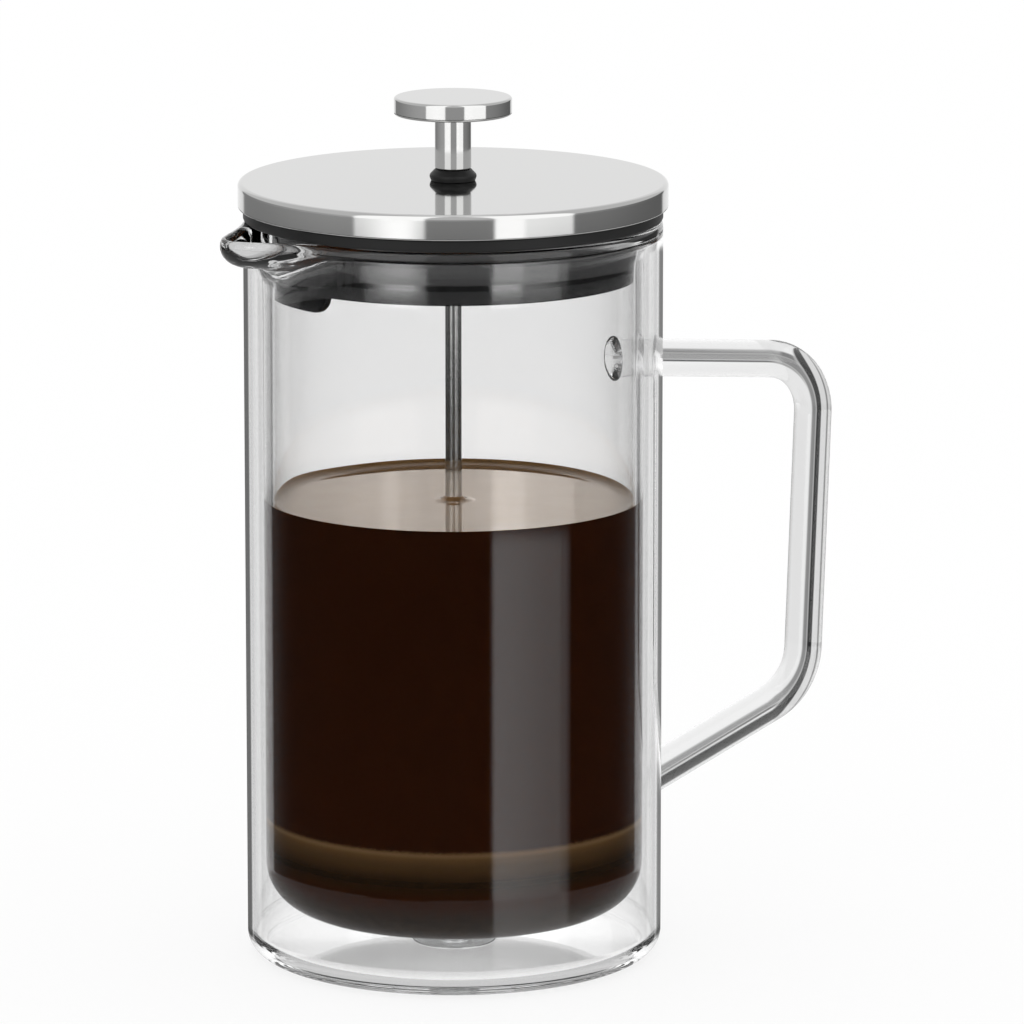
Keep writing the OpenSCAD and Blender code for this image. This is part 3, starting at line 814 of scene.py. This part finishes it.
def coil_mesh(name):
    """Wire wound round a ring, closed on itself."""
    verts, faces = [], []
    total = COIL_TURNS * TURN_STEPS
    for i in range(total):
        here = coil_centre(i, total)
        ahead = (coil_centre(i + 1, total) - coil_centre(i - 1, total)).normalized()
        out = (here - on_ring(2 * math.pi * i / total, COIL_RING_R, COIL_MID_Z)).normalized()
        out = (out - ahead * out.dot(ahead)).normalized()
        up = ahead.cross(out)
        for k in range(WIRE_SIDES):
            a = 2 * math.pi * k / WIRE_SIDES
            verts.append((here + (out * math.cos(a) + up * math.sin(a)) * WIRE_R) * MM)
        faces += ring_faces(i * WIRE_SIDES, (i + 1) % total * WIRE_SIDES, WIRE_SIDES)
    return shaded_object(name, verts, faces, 80)


spring = coil_mesh("coil_spring")
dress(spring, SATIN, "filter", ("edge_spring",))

MESH_T = 0.5
MESH_BORE_R = 2.1
screen = lathe("wire_screen", rounded([
    (MESH_BORE_R, MESH_LOW, 0.05), (MESH_R, MESH_LOW, 2.8), (MESH_R, MESH_TOP, 0.2),
    (MESH_R - MESH_T, MESH_TOP, 0.2), (MESH_R - MESH_T, MESH_LOW + MESH_T, 2.3),
    (MESH_BORE_R, MESH_LOW + MESH_T, 0.05)], closed=True), FINE, closed=True)
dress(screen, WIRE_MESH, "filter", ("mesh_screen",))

# ---------------------------------------------------------------- CAD nodes that stay

for node_name in ("guide_bush", "bush_nut", "rod_shoulder", "spiral_plate", "cross_plate", "filter_nut"):
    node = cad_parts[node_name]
    node.data.materials.clear()
    node.data.materials.append(SATIN)
    weld = node.modifiers.new("weld", "WELD")
    weld.merge_threshold = 0.01 * MM
    soften = node.modifiers.new("soften", "BEVEL")
    soften.width = 0.18 * MM
    soften.segments = 2
    soften.limit_method = "ANGLE"
    soften.angle_limit = math.radians(40)

# ---------------------------------------------------------------- floor

floor_mesh = bpy.data.meshes.new("floor")
span = 30.0
level = -0.4 * MM  # just under the glass, so that the two faces don't meet
floor_mesh.from_pydata([(-span, -span, level), (span, -span, level), (span, span, level),
                        (-span, span, level)], [], [(0, 1, 2, 3)])
floor = new_object("floor", floor_mesh)
floor_mesh.materials.append(floor_material("paper_floor"))
floor.visible_glossy = False
floor.visible_transmission = False

# ---------------------------------------------------------------- camera

CAMERA_TURN = math.radians(-30.0)  # the photograph looks from between the spout and the front
CAMERA_DISTANCE = 1.8
CAMERA_HEIGHT = 0.482
AIM_RIGHT, AIM_HEIGHT = 0.0140, 0.1074
toward = Vector((math.sin(CAMERA_TURN), -math.cos(CAMERA_TURN), 0.0))
right = Vector((math.cos(CAMERA_TURN), math.sin(CAMERA_TURN), 0.0))
camera = bpy.data.objects.new("camera", bpy.data.cameras.new("camera"))
bpy.context.scene.collection.objects.link(camera)
camera.data.lens = 269.5
camera.data.sensor_width = 36.0
camera.data.clip_start, camera.data.clip_end = 0.1, 100.0
camera.location = toward * CAMERA_DISTANCE + Vector((0.0, 0.0, CAMERA_HEIGHT))
aim = right * AIM_RIGHT + Vector((0.0, 0.0, AIM_HEIGHT))
camera.rotation_mode = "QUATERNION"
camera.rotation_quaternion = (aim - camera.location).to_track_quat("-Z", "Y")
bpy.context.scene.camera = camera

# ---------------------------------------------------------------- studio

# The studio is a pattern of the direction that a ray leaves in. Heights are sines of the angle up, and
# bearings are degrees. The camera looks down, so each height on the object has its own slope of ray.
ROOM_FOOT = (-0.1705, -0.1692)  # the lit room ends here, under what the lid's edge mirrors
SOFTBOX_FOOT = (-0.1772, -0.1712)  # the softboxes end here, seen on the collar
DIM_BOX_TOP = (-0.2085, -0.2045)  # the right one shows again below this, on the coffee
WALL_FOOT = (-0.2610, -0.2585)  # the straight glass wall ends here
WALL_SEEN = (-0.275, -0.14)  # slopes of the camera's rays through the glass wall
TABLE_EDGE = (-0.33, -0.29)
LEFT_BOX, RIGHT_BOX = (-54.0, -15.0), (22.0, 67.0)  # bearings round the camera
BETWEEN_BOXES = (-16.0, 22.0)
BOX_EDGE, CARD_EDGE = 1.5, 2.0  # softness of their edges, in degrees
LEFT_CARD, RIGHT_CARD = 0.14, 0.22

world = bpy.data.worlds.new("studio")
bpy.context.scene.world = world
world.use_nodes = True
world.cycles.sampling_method = "NONE"
w = Nodes(world.node_tree)
ray = w.add("ShaderNodeLightPath").outputs
direction = w.add("ShaderNodeTexCoord").outputs["Generated"]
turned_back = w.add("ShaderNodeVectorRotate", {"Vector": direction, "Angle": -CAMERA_TURN},
                    rotation_type="Z_AXIS").outputs[0]
sx, sy, sz = w.add("ShaderNodeSeparateXYZ", {0: turned_back}).outputs
# Degrees to the right of straight ahead, and to the right of the camera as it is seen from the object
ahead = w.math("MULTIPLY", w.math("ARCTAN2", sx, sy), 180 / math.pi)
around_camera = w.math("MULTIPLY", w.math("ARCTAN2", sx, w.math("MULTIPLY", sy, -1.0)), 180 / math.pi)
off_axis = w.math("ABSOLUTE", ahead)
in_room = w.step(sz, *ROOM_FOOT)
below_room = w.step(sz, *ROOM_FOOT, 1.0, 0.0)
on_wall = w.step(sz, *WALL_FOOT)
table = w.step(sz, *TABLE_EDGE, 1.0, 0.0)
wall_seen = w.band(sz, *WALL_SEEN, 0.012)
reflected = w.math("GREATER_THAN", ray["Glossy Depth"], 0.5)
not_reflected = w.math("LESS_THAN", ray["Glossy Depth"], 0.5)
# Glass surfaces passed: two are the outer wall or the handle, six take in the beaker's wall
passed_two = w.math("COMPARE", ray["Transmission Depth"], 2.0)
passed_six = w.math("COMPARE", ray["Transmission Depth"], 6.0)


def two_cards(bright, left, right):
    """Two black cards before a bright backdrop, which give the glass its dark edges."""
    tone = w.mix_value(w.band(ahead, *left, CARD_EDGE), bright, LEFT_CARD)
    tone = w.mix_value(w.band(ahead, *right, CARD_EDGE), tone, RIGHT_CARD)
    return w.mix_value(on_wall, 0.50, tone)


# The front of the studio, round the camera: a dark skirting with the lit room above it
skirting = w.step(w.math("ABSOLUTE", around_camera), 110.0, 140.0, 0.015, 0.10)
skirting = w.mix_value(w.step(sz, -0.2620, -0.2585), 0.35, skirting)
left_wall = w.step(around_camera, -150.0, -55.0, 0.30, 0.60)
right_wall = w.step(around_camera, 68.0, 150.0, 0.38, 0.16)
front = w.mix_value(w.step(around_camera, -1.0, 1.0), left_wall, right_wall)
front = w.mix_value(w.band(around_camera, *BETWEEN_BOXES, 2.0), front, 0.50)
front = w.mix_value(in_room, skirting, front)
front = w.mix_value(w.step(sz, 0.0, 0.15), front, 0.80)

# The backdrop behind the object, with the cards just outside the picture
cards = two_cards(0.85, (-26.0, -1.0), (2.0, 25.0))
behind = w.mix_value(w.math("MULTIPLY", below_room, w.step(sz, -0.31, -0.29)), 1.0, cards)
studio = w.mix_value(w.step(off_axis, 26.0, 32.0, 1.0, 0.0), front, behind)

# The two softboxes, dimmer and softer where the collar mirrors them
above_foot = w.step(sz, *SOFTBOX_FOOT)
left_soft = w.math("MULTIPLY", w.step(around_camera, -54.0, -30.0),
                   w.step(around_camera, -27.0, -12.0, 1.0, 0.0))
left_high = w.mix_value(below_room, 1.75, w.math("MULTIPLY", left_soft, 4.4))
left_strength = w.mix_value(above_foot, 0.015, left_high)
right_soft = w.mix_value(w.step(around_camera, 36.0, 41.0), 3.9,
                         w.step(around_camera, 40.0, 67.0, 1.4, 0.5))
right_high = w.mix_value(below_room, 1.75, right_soft)
right_low = w.mix_value(w.step(sz, *DIM_BOX_TOP), w.step(around_camera, *RIGHT_BOX, 0.80, 0.50), 0.02)
right_strength = w.mix_value(above_foot, right_low, right_high)
studio = w.mix_value(w.band(around_camera, *LEFT_BOX, BOX_EDGE), studio, left_strength)
studio = w.mix_value(w.band(around_camera, *RIGHT_BOX, BOX_EDGE), studio, right_strength)

# What clear glass shows of it, straight through
clear = w.mix_value(w.step(off_axis, 30.0, 36.0), 1.0, 0.45)
clear = w.mix_value(w.band(ahead, 75.0, 135.0, 4.0), clear, 1.0)
under = w.math("MULTIPLY", w.step(sz, -0.2590, -0.2570, 1.0, 0.0), w.step(off_axis, 40.0, 50.0, 1.0, 0.0))
clear = w.mix_value(under, clear, 0.72)
clear = w.mix_value(wall_seen, 1.0, clear)

# What comes back through clear glass after a reflection inside it or behind it: in the outer wall, in
# the beaker's wall, and elsewhere
outer_line = two_cards(0.80, (-21.0, 5.0), (4.0, 19.0))
beaker_line = w.mix_value(w.band(off_axis, 20.0, 37.0, 2.0), 0.95, 0.12)
lines = w.mix_value(passed_six, 0.95, beaker_line)
lines = w.mix_value(passed_two, lines, outer_line)
bounced = w.mix_value(table, studio, w.mix_value(passed_two, 0.35, 0.60))
near_axis = w.math("MULTIPLY", wall_seen, w.step(off_axis, 38.0, 42.0, 1.0, 0.0))
bounced = w.mix_value(near_axis, bounced, lines)
# The lit backdrop that the coffee's surface mirrors, with the softboxes' glow in it
glow = w.mix_value(w.band(ahead, 1.0, 4.2, 0.15), 1.22, 1.50)
glow = w.mix_value(w.band(ahead, 1.0, 1.9, 0.15), glow, 1.85)
glow = w.mix_value(w.band(ahead, -1.9, -1.4, 0.15), glow, 1.50)
glow = w.mix_value(w.step(off_axis, 24.0, 34.0), glow, 1.0)
bounced = w.math("MULTIPLY", bounced, w.mix_value(w.band(sz, 0.10, 0.26, 0.03), 1.0, glow))

# What a plain glass rod shows of the studio: one ray in, one ray out
across = w.mix_value(w.band(ahead, -15.5, -5.0, 1.5), 0.68, 0.03)
across = w.mix_value(w.step(ahead, 1.0, 6.0), across, 0.80)
across = w.mix_value(w.band(ahead, -41.0, -33.0, 2.0), across, 0.22)
upright = w.mix_value(w.band(sz, -0.50, -0.33, 0.04), 0.85, 0.18)
upright = w.mix_value(w.band(sz, -0.33, -0.13, 0.02), upright, 0.24)
upright = w.mix_value(w.band(sz, -0.12, -0.05, 0.015), upright, 0.08)
upright = w.mix_value(w.band(sz, 0.34, 0.46, 0.03), upright, 0.30)
rod_view = w.mix_value(w.band(ahead, -4.0, 4.0, 2.0), across, upright)

mirrored = w.mix_value(table, studio, 0.60)
through = w.mix_value(reflected, clear, bounced)
through = w.mix_value(w.math("MULTIPLY", passed_two, not_reflected), through, rod_view)
value = w.mix_value(ray["Is Glossy Ray"], 1.0, mirrored)
value = w.mix_value(ray["Is Transmission Ray"], value, through)
value = w.mix_value(ray["Is Camera Ray"], value, 1.0)
colour = w.add("ShaderNodeCombineColor", {0: value, 1: value, 2: value}).outputs[0]
background = w.add("ShaderNodeBackground", {"Color": colour, "Strength": 1.0}).outputs[0]
w.finish(background, "ShaderNodeOutputWorld")

# Light takes many reflections to get out of the glass walls, the foot and the spout
bpy.context.scene.cycles.max_bounces = 40
bpy.context.scene.cycles.glossy_bounces = 24
bpy.context.scene.cycles.transmission_bounces = 32

bpy.context.scene.view_settings.view_transform = "Standard"
bpy.context.scene.view_settings.look = "None"
